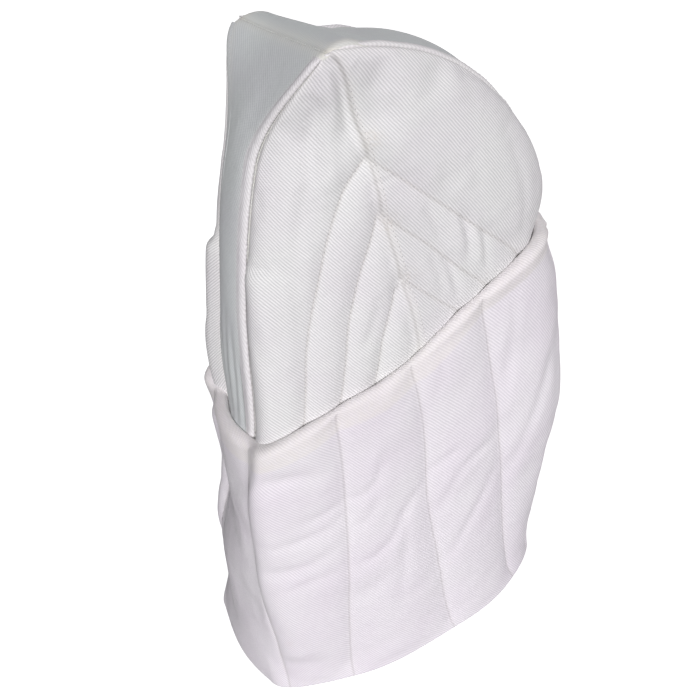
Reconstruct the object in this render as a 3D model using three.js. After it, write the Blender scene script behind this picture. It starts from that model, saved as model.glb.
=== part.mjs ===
// A quilted cotton hood: two side panels, a box gusset from brow to nape, and a deep padded
// cuff that is sewn to the rim and turned up on the outside.
// Millimetres. +X is the wearer's left, -Y the face, +Z up. The rim stands on z = 0.
import * as THREE from 'three';

// ---- driving dimensions -------------------------------------------------------------------
const GAP = 0.3;
const CLOTH = 1.0;
const LINING = 0.8;
const HOOD_WADDING = 6.0;
const CUFF_WADDING = 6.0;
const RIM_WADDING = 1.2;
const HEM_HEIGHT = 3.0;

// Seam lines in side view, [y, z]: four control points of a cubic curve each.
const EAR = [-24, 434];
const BROW = [-89.5, 215];
const NAPE = [130, 287];
const FRONT_SEAM_LOW = [[-115, 0], [-115, 50], [-89, 135], BROW];
const FRONT_SEAM_HIGH = [BROW, [-78, 300], [-66, 398], EAR];
const BACK_SEAM_LOW = [[115, 0], [115, 62], [138, 170], NAPE];
const BACK_SEAM_HIGH = [NAPE, [131, 345], [72, 430], EAR];

// Half widths of the gusset.
const GUSSET_AT_RIM_FRONT = 35;
const GUSSET_AT_RIM_BACK = 40;
const GUSSET_AT_BROW = 25;
const GUSSET_AT_NAPE = 25;
const GUSSET_AT_FOREHEAD = 17.5;
const GUSSET_AT_EAR = 43.6;

// How far the panels swell out past their seams.
const SIDE_SWELL_AT_RIM = 40.5;
const SIDE_SWELL_AT_BROW = 28;
const FRONT_SWELL = 5;
const BACK_SWELL = 7;

// How squarely a side panel turns out from its seams: 1 is a sine, less is squarer.
const SQUARE_AT_RIM = 1;
const SQUARE_AT_BROW = 0.38;
const SQUARE_AT_NAPE = 0.7;

// The height parameter runs 0 at the rim, TURN at the top of the cuff and 1 at the ears.
const TURN = 0.5;
const TURN_LENGTH = 500;
const EAR_END = 0.995;

const SEAM_ROLL_WIDTH = 7;
const SEAM_ROLL_HEIGHT = 2.4;

const LOW_ROWS = 5;
const HIGH_ROWS = 11;
const SIDE_COLUMNS = 8;
const GUSSET_COLUMNS = 5;
const CUFF_ROWS = 5;
const ROLL_STEPS = 4;

// ---- colours ------------------------------------------------------------------------------
const WHITE_TWILL = { color: 0xe6e2e4, roughness: 0.92, metalness: 0 };
const SHADED_TWILL = { color: 0xdcdedb, roughness: 0.92, metalness: 0 };
const LINING_CLOTH = { color: 0xe4dfd2, roughness: 0.95, metalness: 0 };
const WADDING = { color: 0xeeebe4, roughness: 1, metalness: 0 };
const SEAM_CLOTH = { color: 0xe9e4d8, roughness: 0.92, metalness: 0 };

// ---- curves -------------------------------------------------------------------------------
const mix = (a, b, t) => a + (b - a) * t;

function smooth(edge0, edge1, value) {
  return THREE.MathUtils.smoothstep(value, edge0, edge1);
}

function cubic([a, b, c, d], t) {
  const u = 1 - t;
  const blend = (i) => u * u * u * a[i] + 3 * u * u * t * b[i] + 3 * u * t * t * c[i] + t * t * t * d[i];
  return new THREE.Vector2(blend(0), blend(1));
}

function seamPoint(low, high, h) {
  if (h < TURN) return cubic(low, h / TURN);
  return cubic(high, (h - TURN) / (1 - TURN));
}

// The unit vector, in side view, that points out of the hood across a seam line.
function seamNormal(low, high, h, outward) {
  const step = 0.00002;
  const a = seamPoint(low, high, Math.max(h - step, 0));
  const b = seamPoint(low, high, Math.min(h + step, 1));
  const along = b.sub(a).normalize();
  return new THREE.Vector2(-along.y * outward, along.x * outward);
}

const FRONT = { low: FRONT_SEAM_LOW, high: FRONT_SEAM_HIGH, outward: 1 };
const BACK = { low: BACK_SEAM_LOW, high: BACK_SEAM_HIGH, outward: -1 };

// At the ears both seam lines share one mitred direction, so every layer closes on one point.
function earMitre() {
  const f = seamNormal(FRONT.low, FRONT.high, 1, FRONT.outward);
  const b = seamNormal(BACK.low, BACK.high, 1, BACK.outward);
  const m = f.clone().add(b).normalize();
  return m.divideScalar(m.dot(f));
}
const EAR_MITRE = earMitre();

function outwardAt(line, h) {
  const own = seamNormal(line.low, line.high, h, line.outward);
  return own.lerp(EAR_MITRE, smooth(0.88, 1, h));
}

// A seam line sunk by depth; a negative depth lies outside the hood.
function sunkSeam(line, h, depth) {
  const p = seamPoint(line.low, line.high, h);
  return p.addScaledVector(outwardAt(line, h), -depth);
}

function frontHalfWidth(h) {
  if (h < TURN) return mix(GUSSET_AT_RIM_FRONT, GUSSET_AT_BROW, h / TURN);
  const t = (h - TURN) / (1 - TURN);
  const narrow = mix(GUSSET_AT_BROW, GUSSET_AT_FOREHEAD, smooth(0, 0.35, t));
  return mix(narrow, GUSSET_AT_EAR, smooth(0.65, 1, t));
}

function backHalfWidth(h) {
  if (h < TURN) return mix(GUSSET_AT_RIM_BACK, GUSSET_AT_NAPE, h / TURN);
  const t = (h - TURN) / (1 - TURN);
  return mix(GUSSET_AT_NAPE, GUSSET_AT_EAR, t ** 0.7);
}

function sideSwell(h) {
  if (h < TURN) return mix(SIDE_SWELL_AT_RIM, SIDE_SWELL_AT_BROW, h / TURN);
  const t = (h - TURN) / (1 - TURN);
  return SIDE_SWELL_AT_BROW * (1 - t * t);
}

function gussetSwell(line, h) {
  const fade = 1 - smooth(0.82, 0.96, h);
  return (line === FRONT ? FRONT_SWELL : BACK_SWELL) * fade;
}

// ---- the hood surface ---------------------------------------------------------------------
// A point of the gusset, at x across it.
function onGusset(line, h, x, depth) {
  const half = (line === FRONT ? frontHalfWidth(h) : backHalfWidth(h)) - depth;
  const seam = sunkSeam(line, h, depth);
  const swell = gussetSwell(line, h) * (1 - (x / half) ** 2);
  seam.addScaledVector(outwardAt(line, h), swell);
  return new THREE.Vector3(x, seam.x, seam.y);
}

// A point of a side panel, at part across it from the front seam (0) to the back seam (1).
function onSide(side, h, part, depth) {
  const front = sunkSeam(FRONT, h, depth);
  const back = sunkSeam(BACK, h, depth);
  const inset = Math.min(0.2, 0.2 / front.distanceTo(back));
  const across = mix(inset, 1 - inset, (1 - Math.cos(Math.PI * part)) / 2);
  const square = mix(SQUARE_AT_BROW, SQUARE_AT_NAPE, part);
  const power = mix(SQUARE_AT_RIM, square, smooth(0, TURN, h));
  const swell = sideSwell(h) * Math.max(Math.sin(Math.PI * part), 0) ** power;
  const half = mix(frontHalfWidth(h), backHalfWidth(h), across) - depth + swell;
  return new THREE.Vector3(side * half, mix(front.x, back.x, across), mix(front.y, back.y, across));
}

// Every panel as a function of (h, s, depth), s running 0 to 1 anticlockwise seen from above.
function gussetPanel(line) {
  const turn = line === FRONT ? 1 : -1;
  return (h, s, depth) => {
    const half = (line === FRONT ? frontHalfWidth(h) : backHalfWidth(h)) - depth - 0.2;
    return onGusset(line, h, turn * mix(-half, half, s), depth);
  };
}

function sidePanel(side, from, to) {
  return (h, s, depth) => onSide(side, h, side > 0 ? mix(from, to, s) : mix(to, from, s), depth);
}

// ---- solids -------------------------------------------------------------------------------
// A closed slab between two grids of points, outer(i, j) and inner(i, j).
// i climbs the panel and j runs anticlockwise; ring joins the last column to the first.
function slab(rows, columns, outer, inner, ring = false) {
  const across = ring ? columns : columns + 1;
  const points = [];
  const faces = [];
  for (const skin of [outer, inner]) {
    for (let i = 0; i <= rows; i += 1) {
      for (let j = 0; j < across; j += 1) points.push(...skin(i, j).toArray());
    }
  }
  const layer = (rows + 1) * across;
  const out = (i, j) => i * across + (j % across);
  const inn = (i, j) => layer + out(i, j);
  const quad = (a, b, c, d) => faces.push(a, b, c, a, c, d);
  for (let i = 0; i < rows; i += 1) {
    for (let j = 0; j < columns; j += 1) {
      quad(out(i, j), out(i, j + 1), out(i + 1, j + 1), out(i + 1, j));
      quad(inn(i, j), inn(i + 1, j), inn(i + 1, j + 1), inn(i, j + 1));
    }
  }
  for (let j = 0; j < columns; j += 1) {
    quad(out(0, j), inn(0, j), inn(0, j + 1), out(0, j + 1));
    quad(out(rows, j), out(rows, j + 1), inn(rows, j + 1), inn(rows, j));
  }
  if (!ring) {
    for (let i = 0; i < rows; i += 1) {
      quad(out(i, 0), out(i + 1, 0), inn(i + 1, 0), inn(i, 0));
      quad(out(i, columns), inn(i, columns), inn(i + 1, columns), out(i + 1, columns));
    }
  }
  const geometry = new THREE.BufferGeometry();
  geometry.setAttribute('position', new THREE.Float32BufferAttribute(points, 3));
  geometry.setIndex(faces);
  geometry.computeVertexNormals();
  return geometry;
}

function rungSlab(panel, rungs, columns) {
  const at = (k) => (i, j) => panel(rungs[i][k][0], j / columns, rungs[i][k][1]);
  return slab(rungs.length - 1, columns, at(0), at(1));
}

const rimStart = (HEM_HEIGHT + GAP) * (TURN / BROW[1]);

// The wadding is pressed flat where the layers are caught in the rim seam.
const waddingAt = (full, h) => mix(RIM_WADDING, full, smooth(0, 0.1, h));

function hoodRows() {
  const rows = [];
  for (let i = 0; i < LOW_ROWS; i += 1) rows.push(mix(rimStart, TURN, (i / LOW_ROWS) ** 1.4));
  for (let i = 0; i <= HIGH_ROWS; i += 1) {
    rows.push(mix(TURN, EAR_END, 1 - (1 - i / HIGH_ROWS) ** 1.25));
  }
  return rows;
}

function hoodLayer(outerDepth, innerDepth) {
  return hoodRows().map((h) => [[h, outerDepth(h)], [h, innerDepth(h)]]);
}

const SHELL_RUNGS = hoodLayer(() => 0, () => CLOTH);
const WADDING_RUNGS = hoodLayer(
  () => CLOTH + GAP,
  (h) => CLOTH + GAP + waddingAt(HOOD_WADDING, h),
);
const LINING_RUNGS = hoodLayer(
  (h) => CLOTH + 2 * GAP + waddingAt(HOOD_WADDING, h),
  (h) => CLOTH + 2 * GAP + waddingAt(HOOD_WADDING, h) + LINING,
);

// ---- cuff sections ------------------------------------------------------------------------
const FACING_IN = -0.4;
const FACING_OUT = FACING_IN - LINING;
const PAD_IN = FACING_OUT - GAP;
const padOut = (h) => PAD_IN - waddingAt(CUFF_WADDING, h);
const shellIn = (h) => padOut(h) - GAP;
const shellOut = (h) => shellIn(h) - CLOTH;

function cuffRows() {
  const rows = [];
  for (let i = 0; i <= CUFF_ROWS; i += 1) rows.push(mix(rimStart, TURN, (i / CUFF_ROWS) ** 1.4));
  return rows;
}

function facingRungs() {
  return cuffRows().map((h) => {
    const top = Math.min(h, TURN - GAP / TURN_LENGTH);
    return [[top, FACING_OUT], [top, FACING_IN]];
  });
}

// A point on the roll along the top of the cuff; turn 0 faces outward and 180 the hood.
function rollPoint(centre, radius, turn) {
  const angle = THREE.MathUtils.degToRad(turn);
  return [TURN + (radius * Math.sin(angle)) / TURN_LENGTH, centre - radius * Math.cos(angle)];
}

function padRungs() {
  const centre = (PAD_IN + padOut(TURN)) / 2;
  const radius = (PAD_IN - padOut(TURN)) / 2;
  const rungs = cuffRows().map((h) => [[h, padOut(h)], [h, PAD_IN]]);
  for (let i = 1; i <= ROLL_STEPS; i += 1) {
    const turn = (78 * i) / ROLL_STEPS;
    rungs.push([rollPoint(centre, radius, turn), rollPoint(centre, radius, 180 - turn)]);
  }
  return rungs;
}

function cuffShellRungs() {
  const outerCentre = (FACING_IN + shellOut(TURN)) / 2;
  const outerRadius = (FACING_IN - shellOut(TURN)) / 2;
  const innerCentre = (PAD_IN + GAP + shellIn(TURN)) / 2;
  const innerRadius = (PAD_IN + GAP - shellIn(TURN)) / 2;
  const rungs = cuffRows().map((h) => [[h, shellOut(h)], [h, shellIn(h)]]);
  for (let i = 1; i <= 2 * ROLL_STEPS; i += 1) {
    const turn = (180 * i) / (2 * ROLL_STEPS);
    rungs.push([rollPoint(outerCentre, outerRadius, turn), rollPoint(innerCentre, innerRadius, turn)]);
  }
  return rungs;
}

// ---- rim and seam rolls -------------------------------------------------------------------
// The sewn edge all round the rim, with a flat underside.
function hemRing() {
  const h = HEM_HEIGHT * (TURN / BROW[1]);
  const inner = CLOTH + 2 * GAP + RIM_WADDING + LINING;
  const panels = [
    [gussetPanel(FRONT), GUSSET_COLUMNS],
    [sidePanel(1, 0, 1), SIDE_COLUMNS],
    [gussetPanel(BACK), GUSSET_COLUMNS],
    [sidePanel(-1, 0, 1), SIDE_COLUMNS],
  ];
  const stations = panels.flatMap(([panel, count]) => {
    return Array.from({ length: count }, (_, j) => [panel, (j + 0.5) / count]);
  });
  const skin = (depth) => (i, j) => {
    const [panel, s] = stations[j % stations.length];
    return panel(i * h, s, depth);
  };
  return slab(1, stations.length, skin(shellOut(0)), skin(inner), true);
}

// The seam allowance turned on to the gusset as a soft ridge, from the cuff up to the ear.
function seamRoll(line, side) {
  const rows = HIGH_ROWS + 3;
  const columns = 4;
  const start = TURN + 8 / TURN_LENGTH;
  const height = (i) => mix(start, 0.985, i / rows);
  const width = (h) => (line === FRONT ? frontHalfWidth(h) : backHalfWidth(h)) - 0.3;
  const turn = (line === FRONT) === (side > 0) ? 1 : -1;
  const place = (i, j) => {
    const h = height(i);
    const s = turn > 0 ? j / columns : 1 - j / columns;
    return [h, side * (width(h) - SEAM_ROLL_WIDTH * (1 - s)), s];
  };
  const outer = (i, j) => {
    const [h, x, s] = place(i, j);
    return onGusset(line, h, x, -GAP - 0.4 - SEAM_ROLL_HEIGHT * Math.sin(Math.PI * s));
  };
  const inner = (i, j) => {
    const [h, x] = place(i, j);
    return onGusset(line, h, x, -GAP);
  };
  return slab(rows, columns, outer, inner);
}

// ---- assembly -----------------------------------------------------------------------------
const group = new THREE.Group();
group.name = 'quilted_hood';

function add(name, geometry, look) {
  const mesh = new THREE.Mesh(geometry, new THREE.MeshStandardMaterial(look));
  mesh.name = name;
  group.add(mesh);
}

const half = SIDE_COLUMNS / 2;
const frontGusset = gussetPanel(FRONT);
const crownGusset = gussetPanel(BACK);

// A small gap either side of the seam that runs from the ear down the middle of each side.
const MIDDLE = 0.0012;

add('left_front_panel', rungSlab(sidePanel(1, 0, 0.5 - MIDDLE), SHELL_RUNGS, half), WHITE_TWILL);
add('left_back_panel', rungSlab(sidePanel(1, 0.5 + MIDDLE, 1), SHELL_RUNGS, half), WHITE_TWILL);
add('right_front_panel', rungSlab(sidePanel(-1, 0, 0.5 - MIDDLE), SHELL_RUNGS, half), WHITE_TWILL);
add('right_back_panel', rungSlab(sidePanel(-1, 0.5 + MIDDLE, 1), SHELL_RUNGS, half), WHITE_TWILL);
add('front_gusset', rungSlab(frontGusset, SHELL_RUNGS, GUSSET_COLUMNS), SHADED_TWILL);
add('crown_gusset', rungSlab(crownGusset, SHELL_RUNGS, GUSSET_COLUMNS), SHADED_TWILL);

add('left_side_wadding', rungSlab(sidePanel(1, 0, 1), WADDING_RUNGS, SIDE_COLUMNS), WADDING);
add('right_side_wadding', rungSlab(sidePanel(-1, 0, 1), WADDING_RUNGS, SIDE_COLUMNS), WADDING);
add('front_gusset_wadding', rungSlab(frontGusset, WADDING_RUNGS, GUSSET_COLUMNS), WADDING);
add('crown_gusset_wadding', rungSlab(crownGusset, WADDING_RUNGS, GUSSET_COLUMNS), WADDING);

add('left_side_lining', rungSlab(sidePanel(1, 0, 1), LINING_RUNGS, SIDE_COLUMNS), LINING_CLOTH);
add('right_side_lining', rungSlab(sidePanel(-1, 0, 1), LINING_RUNGS, SIDE_COLUMNS), LINING_CLOTH);
add('front_gusset_lining', rungSlab(frontGusset, LINING_RUNGS, GUSSET_COLUMNS), LINING_CLOTH);
add('crown_gusset_lining', rungSlab(crownGusset, LINING_RUNGS, GUSSET_COLUMNS), LINING_CLOTH);

add('left_front_seam_roll', seamRoll(FRONT, 1), SEAM_CLOTH);
add('right_front_seam_roll', seamRoll(FRONT, -1), SEAM_CLOTH);
add('left_crown_seam_roll', seamRoll(BACK, 1), SEAM_CLOTH);
add('right_crown_seam_roll', seamRoll(BACK, -1), SEAM_CLOTH);

const CUFF_PIECES = [
  ['front', gussetPanel(FRONT), GUSSET_COLUMNS],
  ['left', sidePanel(1, 0, 1), SIDE_COLUMNS],
  ['back', gussetPanel(BACK), GUSSET_COLUMNS],
  ['right', sidePanel(-1, 0, 1), SIDE_COLUMNS],
];

for (const [place, panel, columns] of CUFF_PIECES) {
  add(`cuff_${place}_cover`, rungSlab(panel, cuffShellRungs(), columns), WHITE_TWILL);
  add(`cuff_${place}_wadding`, rungSlab(panel, padRungs(), columns), WADDING);
  add(`cuff_${place}_facing`, rungSlab(panel, facingRungs(), columns), SHADED_TWILL);
}

add('rim_hem', hemRing(), SEAM_CLOTH);

// The frame's origin is under the middle of the hood, at the height of the rim.
const bounds = new THREE.Box3().setFromObject(group);
const middle = bounds.getCenter(new THREE.Vector3());
for (const mesh of group.children) mesh.geometry.translate(-middle.x, -middle.y, 0);

export default group;
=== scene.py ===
# %% [markdown]
# # A quilted cotton hood with a turned-up cuff
# The hood is sewn from two side panels and one long gusset that runs from the brow, over the
# two ears, down to the nape. Each panel is a sandwich: white twill outside, wadding, a plain
# lining. A deep padded cuff is sewn to the rim and turned up on the outside. This lesson makes
# every sandwich as one closed mesh, stitches it down along its quilting lines, lets a cloth
# simulation fill it, and then gives it a twill that follows the cloth's own map.

# %% Load the frame
import math

import bmesh
import bpy
import numpy as np
from mathutils import Matrix, Vector


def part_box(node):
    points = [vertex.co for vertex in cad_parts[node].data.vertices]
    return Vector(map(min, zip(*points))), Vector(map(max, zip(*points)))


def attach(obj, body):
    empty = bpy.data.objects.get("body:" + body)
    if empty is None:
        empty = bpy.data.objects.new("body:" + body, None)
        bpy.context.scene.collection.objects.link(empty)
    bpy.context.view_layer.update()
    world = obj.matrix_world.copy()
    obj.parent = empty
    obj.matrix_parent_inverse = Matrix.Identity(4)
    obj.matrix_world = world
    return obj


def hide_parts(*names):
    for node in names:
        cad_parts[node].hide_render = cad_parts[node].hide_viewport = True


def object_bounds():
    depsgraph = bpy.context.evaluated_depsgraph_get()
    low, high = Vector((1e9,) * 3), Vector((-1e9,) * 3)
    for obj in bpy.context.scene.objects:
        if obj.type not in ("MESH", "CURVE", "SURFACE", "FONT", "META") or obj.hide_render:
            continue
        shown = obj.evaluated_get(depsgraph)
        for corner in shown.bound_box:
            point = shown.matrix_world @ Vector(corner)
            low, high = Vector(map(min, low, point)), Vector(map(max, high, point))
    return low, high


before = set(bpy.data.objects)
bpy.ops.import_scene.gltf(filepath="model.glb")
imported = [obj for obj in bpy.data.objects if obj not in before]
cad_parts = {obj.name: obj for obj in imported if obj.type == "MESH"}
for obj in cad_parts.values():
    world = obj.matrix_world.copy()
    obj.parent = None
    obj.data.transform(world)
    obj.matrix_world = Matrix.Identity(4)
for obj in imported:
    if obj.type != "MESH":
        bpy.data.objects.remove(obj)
CAD_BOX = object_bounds()
print("CAD box", [round(x, 4) for corner in CAD_BOX for x in corner])

# %% [markdown]
# ## Camera
# The hood is seen from above its left side, turned a little to the face, with the camera
# rolled a few degrees. The camera is close, so the cuff's lower edge looks smaller than its
# top. The aim is given from the middle of the CAD box.

# %% Put a new object in the scene
def placed(name, data):
    new = bpy.data.objects.new(name, data)
    bpy.context.scene.collection.objects.link(new)
    return new


def toward(azimuth, elevation):
    """The direction of a place seen from the hood: azimuth 0 is the face side."""
    return Vector((math.sin(azimuth) * math.cos(elevation),
                   -math.cos(azimuth) * math.cos(elevation), math.sin(elevation)))


# %% Camera
AZIMUTH, ELEVATION, ROLL = math.radians(60.8), math.radians(36.0), math.radians(-6.0)
DISTANCE, LENS = 0.5308, 41.143
AIM = (Vector(CAD_BOX[0]) + Vector(CAD_BOX[1])) / 2 + Vector((-0.0017, -0.0131, 0.0083))

towards = toward(AZIMUTH, ELEVATION)
right = Vector((math.cos(AZIMUTH), math.sin(AZIMUTH), 0))
up = towards.cross(right)
rolled_right = math.cos(ROLL) * right + math.sin(ROLL) * up
rolled_up = math.cos(ROLL) * up - math.sin(ROLL) * right
camera_data = bpy.data.cameras.new("camera")
camera_data.lens, camera_data.sensor_width = LENS, 36
camera_data.clip_start, camera_data.clip_end = 0.01, 60
camera = placed("camera", camera_data)
turn = Matrix((rolled_right, rolled_up, towards)).transposed().to_4x4()
camera.matrix_world = Matrix.Translation(AIM + towards * DISTANCE) @ turn
bpy.context.scene.camera = camera
print("camera at", [round(x, 3) for x in camera.matrix_world.translation])

# %% [markdown]
# ## The pattern
# All the cloth lies on one family of surfaces. `high` runs from 0 at the rim to 0.5 at the
# top of the cuff and 1 at the ears; `part` runs across a side panel from its front seam to
# its back seam; `depth` is millimetres into the hood, so the cuff has a negative depth. Two
# seam curves in side view and a few widths are enough, and every layer uses the same ones,
# which is why neighbouring pieces meet.

# %% Small helpers
MM = 0.001


def mix(a, b, t):
    return a + (b - a) * t


def ease(low, high, value):
    t = np.clip((np.asarray(value, float) - low) / (high - low), 0, 1)
    return t * t * (3 - 2 * t)


def hump(distance, width):
    return np.exp(-(np.asarray(distance, float) / width) ** 2)


# %% Seam lines
EAR, BROW, NAPE = (-24, 434), (-89.5, 215), (130, 287)
CUFF_TOP = 0.5
FRONT = ([(-115, 0), (-115, 50), (-89, 135), BROW], [BROW, (-78, 300), (-66, 398), EAR], 1)
BACK = ([(115, 0), (115, 62), (138, 170), NAPE], [NAPE, (131, 345), (72, 430), EAR], -1)


def cubic(points, t):
    a, b, c, d = (np.array(p, float) for p in points)
    t = np.asarray(t, float)[..., None]
    u = 1 - t
    return u**3 * a + 3 * u * u * t * b + 3 * u * t * t * c + t**3 * d


def seam(line, high):
    low_curve = cubic(line[0], high / CUFF_TOP)
    high_curve = cubic(line[1], (high - CUFF_TOP) / (1 - CUFF_TOP))
    return np.where((high < CUFF_TOP)[..., None], low_curve, high_curve)


def seam_outward(line, high):
    step = 2e-5
    along = seam(line, np.minimum(high + step, 1)) - seam(line, np.maximum(high - step, 0))
    along /= np.linalg.norm(along, axis=-1, keepdims=True)
    return np.stack([-along[..., 1], along[..., 0]], -1) * line[2]


def ear_mitre():
    front, back = (seam_outward(line, np.array(1.0)) for line in (FRONT, BACK))
    middle = (front + back) / np.linalg.norm(front + back)
    return middle / middle.dot(front)


EAR_MITRE = ear_mitre()


def outward_at(line, high):
    return mix(seam_outward(line, high), EAR_MITRE, ease(0.88, 1, high)[..., None])


def sunk_seam(line, high, depth):
    return seam(line, high) - outward_at(line, high) * depth[..., None]


# %% Widths
EAR_HALF_WIDTH = 43.6


def front_half_width(high):
    t = (high - CUFF_TOP) / (1 - CUFF_TOP)
    narrow = mix(25, 17.5, ease(0, 0.35, t))
    return np.where(high < CUFF_TOP, mix(35, 25, high / CUFF_TOP),
                    mix(narrow, EAR_HALF_WIDTH, ease(0.65, 1, t)))


def back_half_width(high):
    t = np.clip((high - CUFF_TOP) / (1 - CUFF_TOP), 0, 1)
    return np.where(high < CUFF_TOP, mix(40, 25, high / CUFF_TOP), mix(25, EAR_HALF_WIDTH, t**0.7))


def side_swell(high):
    t = (high - CUFF_TOP) / (1 - CUFF_TOP)
    return np.where(high < CUFF_TOP, mix(40.5, 28, high / CUFF_TOP), 28 * (1 - t * t))


def half_width(line, high):
    return front_half_width(high) if line is FRONT else back_half_width(high)


# %% The two surfaces
FRONT_BOW, BACK_BOW = 5, 7  # mm that the middle of the gusset stands out past its seams


def on_gusset(line, high, across, depth):
    high, across, depth = np.broadcast_arrays(*(np.asarray(x, float)
                                                for x in (high, across, depth)))
    bow = FRONT_BOW if line is FRONT else BACK_BOW
    swell = bow * (1 - ease(0.82, 0.96, high)) * (1 - across**2)
    side_view = sunk_seam(line, high, depth) + outward_at(line, high) * swell[..., None]
    x = (half_width(line, high) - depth) * across
    return pushed(np.concatenate([x[..., None], side_view], -1))


def on_side(side, high, part, depth):
    high, part, depth = np.broadcast_arrays(*(np.asarray(x, float)
                                              for x in (high, part, depth)))
    front, back = sunk_seam(FRONT, high, depth), sunk_seam(BACK, high, depth)
    a = (1 - np.cos(np.pi * part)) / 2
    boxy = ease(0, CUFF_TOP, high) * mix(1, 0.35, ease(0.66, 0.8, high))
    power = mix(1, mix(0.38, 0.7, part), boxy)
    swell = side_swell(high) * np.maximum(np.sin(np.pi * part), 0) ** power
    x = mix(front_half_width(high), back_half_width(high), a) - depth + swell
    return pushed(np.concatenate([(side * x)[..., None], mix(front, back, a[..., None])], -1))


# %% Pushes that the worn hood has taken
# Each is a place in mm, a reach in mm and a move in mm. All layers near the place move
# together, so the pieces stay joined.
PUSHES = [
    ((-64, -62, 300), 40, (2.4, 4.3, 0)),
    ((-62, -88, 200), 24, (2.4, 4.3, 0)),
    ((-30, -100, 222), 32, (2.0, 3.6, 0)),
    ((-38, -112, 150), 50, (7.4, 13.2, 0)),
    ((-42, -116, 45), 46, (5.6, 10.0, 0)),
    ((44, -122, 140), 60, (-3.8, -6.4, 0)),
    ((48, -118, 182), 34, (-2.4, -3.8, 0)),
    ((58, -95, 0), 52, (-8.0, 4.5, 0)),
    ((78, 0, 0), 50, (-4.5, 1.5, 0)),
    ((0, 140, 288), 24, (-3.0, -6.5, 0)),
    ((48, 135, 285), 24, (-3.4, -6.5, 0)),
    ((62, 112, 160), 55, (4.0, 7.2, 0)),
    ((52, 100, 10), 48, (-4.0, -7.0, 0)),
    ((-44, -30, 428), 20, (-2.0, -2.5, 3.0)),
    ((-36, 12, 424), 17, (2.0, 0, -5.5)),
    ((-20, 22, 428), 16, (0, 0, -3.0)),
    ((-42, 56, 434), 22, (0, 0, -3.5)),
]


def pushed(points):
    moved = points.copy()
    for centre, width, move in PUSHES:
        near = hump(np.linalg.norm(points - np.array(centre, float), axis=-1), width)
        moved += near[..., None] * np.array(move, float)
    return moved


# %% Put the pattern where the frame has it
HEM_OUT = 8.8  # mm that the rim's outer edge lies outside the pattern


def frame_shift():
    """The rim's middle in the frame, less its middle on the pattern."""
    hem_low, hem_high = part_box("rim_hem")
    front_edge = FRONT[0][0][0] - FRONT_BOW - HEM_OUT
    back_edge = BACK[0][0][0] + BACK_BOW + HEM_OUT
    return (hem_low[1] + hem_high[1]) / 2 / MM - (front_edge + back_edge) / 2


SHIFT = frame_shift()
print("the pattern moves", round(SHIFT, 2), "mm along Y into the frame")

# %% [markdown]
# ## Lines on the cloth
# A quilting line or a fold is a short list of places, (high, part). It becomes a smooth curve
# on the panel, and each point of the cloth asks how far away the nearest of them is. Distance
# in real millimetres gives a groove that is as wide at the ear as it is at the brim.


# %% Curves on a panel and the distance to them
def smooth_line(places, count):
    places = np.array(places, float)
    steps = np.r_[0, np.cumsum(np.linalg.norm(np.diff(places, axis=0), axis=1))]
    t = np.linspace(0, steps[-1], count)
    line = np.stack([np.interp(t, steps, places[:, i]) for i in (0, 1)], -1)
    for _ in range(max(2, count // 8)):
        line[1:-1] = (line[:-2] + 2 * line[1:-1] + line[2:]) / 4
    return line


def reach(points, curve, far=26.0):
    """Distance of each point from a curve, and how far along the curve it is, 0 to 1. Points
    further than far from the curve's box are not measured."""
    distance, along = np.full(points.shape[:-1], 99.0), np.zeros(points.shape[:-1])
    close = ((points > curve.min(0) - far) & (points < curve.max(0) + far)).all(-1)
    flat = points[close][:, None]
    start, step = curve[:-1], np.diff(curve, axis=0)
    t = np.einsum("nmk,mk->nm", flat - start, step) / np.maximum((step**2).sum(-1), 1e-9)
    t = np.clip(t, 0, 1)
    gap = np.linalg.norm(flat - start - t[..., None] * step, axis=-1)
    nearest = gap.argmin(1)
    row = np.arange(len(nearest))
    distance[close] = gap[row, nearest]
    along[close] = (nearest + t[row, nearest]) / len(step)
    return distance, along


def gap_to(points, curve, normals):
    """Distance from a curve, negative on one side of it."""
    distance, along = reach(points, curve)
    place = along * (len(curve) - 1)
    first = np.minimum(place.astype(int), len(curve) - 2)
    step = curve[first + 1] - curve[first]
    offset = points - curve[first] - (place - first)[..., None] * step
    turn = (np.cross(step, offset) * normals).sum(-1)
    return np.where(turn < 0, -distance, distance)


def smallest(*gaps):
    """At each point, the gap to the nearest of several curves."""
    gap = gaps[0]
    for other in gaps[1:]:
        gap = np.where(np.abs(other) < np.abs(gap), other, gap)
    return gap


def line_marks(gap):
    """What the twill reads to sink its stitched lines in the bump and darken them with painted
    shade.
    """
    return {"line_gap": np.clip(gap, -6, 6), "line_near": hump(gap, 3.0)}


def spot(points, centre, width, strength):
    return strength * hump(np.linalg.norm(points - centre, axis=-1), width)


def run_round(points):
    """How far along its own row each point lies."""
    run = np.linalg.norm(np.diff(points, axis=1), axis=-1).cumsum(1)
    return np.concatenate([np.zeros((len(points), 1)), run], 1)


def run_along(path):
    return np.r_[0, np.linalg.norm(np.diff(path, axis=0), axis=-1).cumsum()]


def outward_normals(points, ring=False):
    """Unit normals of a sheet of points whose rows go up and whose columns go round."""
    padded = np.concatenate([points[:, -2:-1], points, points[:, 1:2]], 1) if ring else points
    round_it = np.gradient(padded, axis=1)
    if ring:
        round_it = round_it[:, 1:-1]
    normal = np.cross(round_it, np.gradient(points, axis=0))
    return normal / np.maximum(np.linalg.norm(normal, axis=-1, keepdims=True), 1e-9)


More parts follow.
